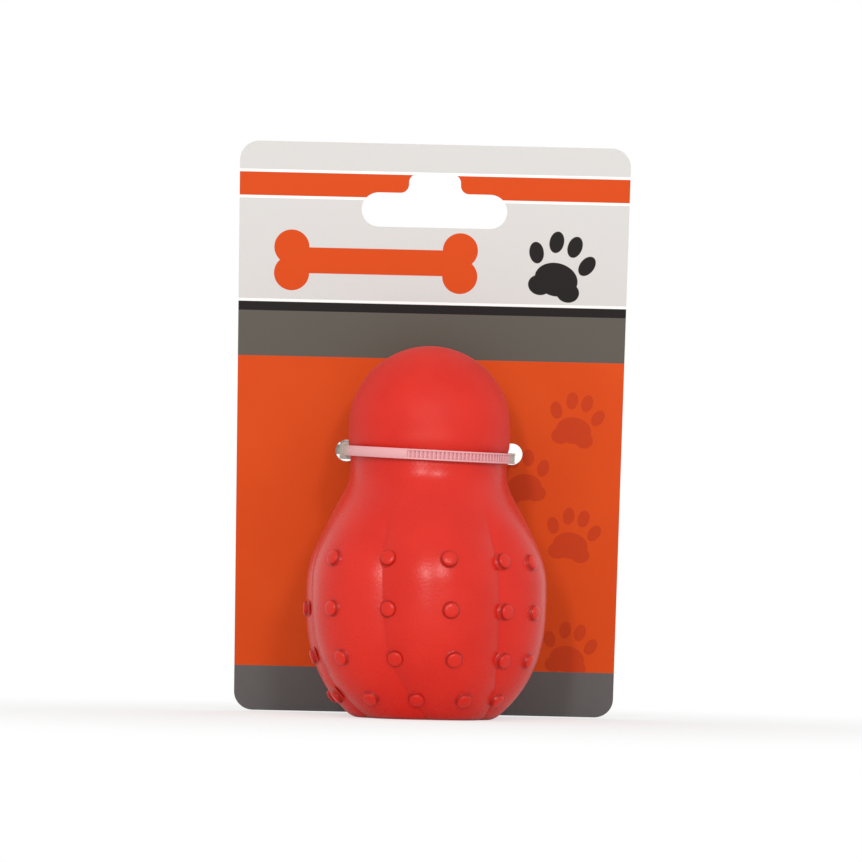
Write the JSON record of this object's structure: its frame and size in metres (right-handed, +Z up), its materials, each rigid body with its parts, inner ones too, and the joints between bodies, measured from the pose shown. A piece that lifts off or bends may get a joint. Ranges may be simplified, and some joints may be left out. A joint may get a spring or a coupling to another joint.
{
  "type": "rubber chew toy on hang card",
  "caption": "Hollow rubber chew toy with twisted lobes and nubs, held at its neck by a cable tie to a leaning card with a hang slot.",
  "frame": {"origin": "centre of the toy's flat base, at the outer rim plane of the treat opening", "axes": "+Z up the toy's axis to its round head, -Y towards the viewer, +X to the viewer's right; the card stands at +Y"},
  "size_m": [0.1016, 0.0746, 0.1483],
  "materials": {
    "toy_rubber": "semi-gloss moulded natural rubber, finely pebbled",
    "tie_nylon": "satin natural nylon, slightly translucent",
    "printed_board": "satin printed front, plain white back"
  },
  "bodies": {
    "hang_card": {"backing_card": "printed_board", "tie_strap": "tie_nylon", "tie_head": "tie_nylon"},
    "toy": {"toy_body": "toy_rubber"},
    "pawl": {"tie_pawl": "tie_nylon"}
  },
  "joints": [
    {"name": "toy_turn", "type": "hinge", "parent": "hang_card", "child": "toy", "pos_m": [0, 0, 0.0642], "axis": [0, 0, 1], "continuous": true},
    {"name": "pawl_flex", "type": "hinge", "parent": "hang_card", "child": "pawl", "pos_m": [-0.02048, 0.02905, 0.06989], "axis": [-0.0296, 0.0698, -0.9971], "range_deg": [0, 10], "stiffness_Nm_per_rad": 0.02}
  ]
}
